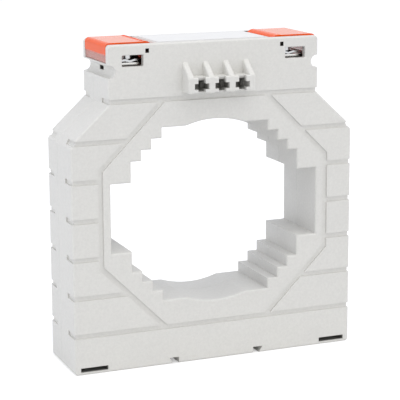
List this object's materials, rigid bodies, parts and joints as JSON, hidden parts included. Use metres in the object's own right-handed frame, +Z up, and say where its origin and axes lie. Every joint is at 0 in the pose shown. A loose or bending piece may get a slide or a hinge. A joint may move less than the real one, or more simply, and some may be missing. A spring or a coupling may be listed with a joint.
{
  "type": "current transformer",
  "caption": "Window current transformer with a stepped busbar opening, a moulded case, screw terminals under hinged translucent covers and a wound core inside.",
  "frame": {"origin": "middle of the flat base, halfway between the two broad faces of the case", "axes": "+X to the right seen from the front, +Y from the front to the back through the window, +Z up"},
  "size_m": [0.14, 0.044, 0.1519],
  "materials": {
    "case_plastic": "fine matte moulding, pale warm grey",
    "cover_plastic": "translucent orange-red",
    "base_plastic": "dark moulding",
    "plated_metal": "plated, satin bright",
    "screw_metal": "zinc plated",
    "core_steel": "wound silicon steel strip",
    "core_film": "polyester film",
    "copper_wire": "enamelled copper",
    "tape": "insulating tape",
    "foam": "closed-cell foam",
    "lead_insulation": "flexible insulation",
    "label": "blank plate"
  },
  "bodies": {
    "case": {"front_housing": "case_plastic", "rear_housing": "case_plastic", "magnetic_core": "core_steel", "core_insulation": "core_film", "secondary_winding": "copper_wire", "winding_tape": "tape", "front_coil_pad": "foam", "rear_coil_pad": "foam", "label_plate": "label", "left_terminal_base": "base_plastic", "left_terminal_bar": "plated_metal", "left_terminal_nuts": "screw_metal", "left_clamp_plates": "screw_metal", "left_terminal_screws": "screw_metal", "left_lead_wire": "lead_insulation", "right_terminal_base": "base_plastic", "right_terminal_bar": "plated_metal", "right_terminal_nuts": "screw_metal", "right_clamp_plates": "screw_metal", "right_terminal_screws": "screw_metal", "right_lead_wire": "lead_insulation"},
    "left_cover": {"left_terminal_cover": "cover_plastic"},
    "right_cover": {"right_terminal_cover": "cover_plastic"}
  },
  "joints": [
    {"name": "left_cover_hinge", "type": "hinge", "parent": "case", "child": "left_cover", "pos_m": [-0.0333, 0, 0.1479], "axis": [0, 1, 0], "range_deg": [0, 100]},
    {"name": "right_cover_hinge", "type": "hinge", "parent": "case", "child": "right_cover", "pos_m": [0.0333, 0, 0.1479], "axis": [0, -1, 0], "range_deg": [0, 100]}
  ]
}
